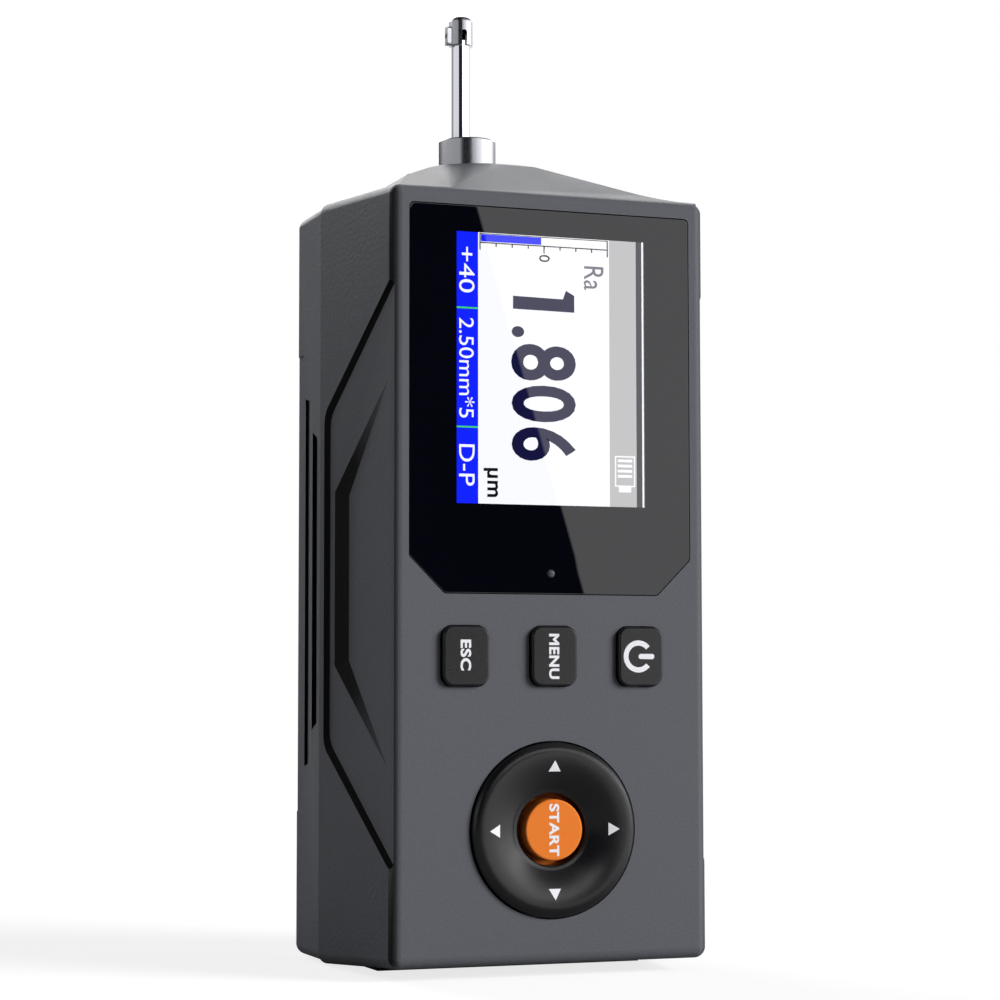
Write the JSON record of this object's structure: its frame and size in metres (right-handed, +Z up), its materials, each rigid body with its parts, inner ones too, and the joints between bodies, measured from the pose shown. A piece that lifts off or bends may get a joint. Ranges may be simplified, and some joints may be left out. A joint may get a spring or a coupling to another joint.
{
  "type": "surface roughness tester",
  "caption": "Upright handheld roughness tester: flared two-shell case with display, keys and direction pad, and a motor-driven pickup with a skid and stylus that retracts into a nose bush.",
  "frame": {"origin": "middle of the box's underside, on the heel that the tester stands on", "axes": "+Z up along the pickup, +Y from the display to the rear, +X to the right as seen from the display"},
  "size_m": [0.0658, 0.0554, 0.1805],
  "materials": {
    "front_plastic": "fine grained moulded plastic",
    "rear_plastic": "fine grained moulded plastic",
    "black_steel": "blackened screw steel",
    "brass": "turned brass",
    "window_glass": "polished, printed black behind",
    "lcd": "display module",
    "inner_plastic": "moulded",
    "clear_plastic": "clear moulded",
    "key_plastic": "fine grained moulded plastic",
    "grey_plastic": "moulded",
    "orange_plastic": "fine grained moulded plastic",
    "tinplate": "tinned",
    "circuit_board": "solder mask",
    "steel": "turned",
    "chip_plastic": "moulded",
    "ivory_plastic": "moulded",
    "battery_wrap": "shrink wrap",
    "aluminium": "milled",
    "ground_steel": "ground",
    "nose_steel": "bright turned",
    "copper": "enamelled winding",
    "chrome": "polished"
  },
  "bodies": {
    "root": {"front_shell": "front_plastic", "rear_shell": "rear_plastic", "case_screws": "black_steel", "screw_inserts": "brass", "display_window": "window_glass", "lcd_module": "lcd", "lcd_frame": "inner_plastic", "light_pipe": "clear_plastic", "dpad_cradle": "grey_plastic", "key_switches": "tinplate", "status_led": "clear_plastic", "main_board": "circuit_board", "board_screws": "steel", "processor_chips": "chip_plastic", "shield_can": "tinplate", "board_connector": "ivory_plastic", "buzzer": "chip_plastic", "port_shell": "tinplate", "battery_pack": "battery_wrap", "battery_tray": "inner_plastic", "drive_frame": "aluminium", "drive_screws": "steel", "guide_rods": "ground_steel", "screw_bearings": "brass", "gear_motor": "steel", "motor_bracket": "aluminium", "sensor_board": "circuit_board", "limit_sensors": "chip_plastic", "nose_bush": "nose_steel"},
    "pickup_carriage": {"carriage": "aluminium", "lead_nut": "brass", "pickup_socket": "inner_plastic", "pickup_body": "ground_steel", "sensor_coil": "copper", "pickup_tube": "chrome", "pickup_head": "chrome", "skid": "ground_steel", "pivot_pin": "brass"},
    "drive_screw": {"lead_screw": "ground_steel", "shaft_coupling": "steel"},
    "stylus": {"stylus_arm": "ground_steel", "stylus_tip": "clear_plastic"},
    "esc_button": {"esc_key": "key_plastic"},
    "menu_button": {"menu_key": "key_plastic"},
    "power_button": {"power_key": "key_plastic"},
    "gimbal": {"dpad_gimbal": "grey_plastic"},
    "direction_pad": {"dpad_ring": "key_plastic"},
    "start": {"start_button": "orange_plastic"}
  },
  "joints": [
    {"name": "traverse", "type": "slide", "parent": "root", "child": "pickup_carriage", "axis": [0, 0, 1], "range_m": [-0.0175, 0]},
    {"name": "screw_turn", "type": "hinge", "parent": "root", "child": "drive_screw", "pos_m": [-0.0069, 0.00865, 0.1], "axis": [0, 0, 1], "range_deg": [-5, 2110]},
    {"name": "stylus_pivot", "type": "hinge", "parent": "pickup_carriage", "child": "stylus", "pos_m": [-0.0082, 0.00015, 0.15881], "axis": [0, 1, 0], "range_deg": [-0.35, 0.35], "stiffness_Nm_per_rad": 0.01},
    {"name": "esc_press", "type": "slide", "parent": "root", "child": "esc_button", "axis": [0, 1, 0], "range_m": [0, 0.0008], "stiffness_N_per_m": 1500},
    {"name": "menu_press", "type": "slide", "parent": "root", "child": "menu_button", "axis": [0, 1, 0], "range_m": [0, 0.0008], "stiffness_N_per_m": 1500},
    {"name": "power_press", "type": "slide", "parent": "root", "child": "power_button", "axis": [0, 1, 0], "range_m": [0, 0.0008], "stiffness_N_per_m": 1500},
    {"name": "start_press", "type": "slide", "parent": "root", "child": "start", "axis": [0, 1, 0], "range_m": [0, 0.001], "stiffness_N_per_m": 1200},
    {"name": "pad_up_down", "type": "hinge", "parent": "root", "child": "gimbal", "pos_m": [0, -0.02035, 0.02633], "axis": [1, 0, 0], "range_deg": [-2, 2], "stiffness_Nm_per_rad": 0.6},
    {"name": "pad_left_right", "type": "hinge", "parent": "gimbal", "child": "direction_pad", "pos_m": [0, -0.02035, 0.02633], "axis": [0, 0, 1], "range_deg": [-2, 2], "stiffness_Nm_per_rad": 0.6}
  ],
  "couplings": [
    {"joint": "screw_turn", "follows": "traverse", "rad_per_m": -2094.4}
  ]
}
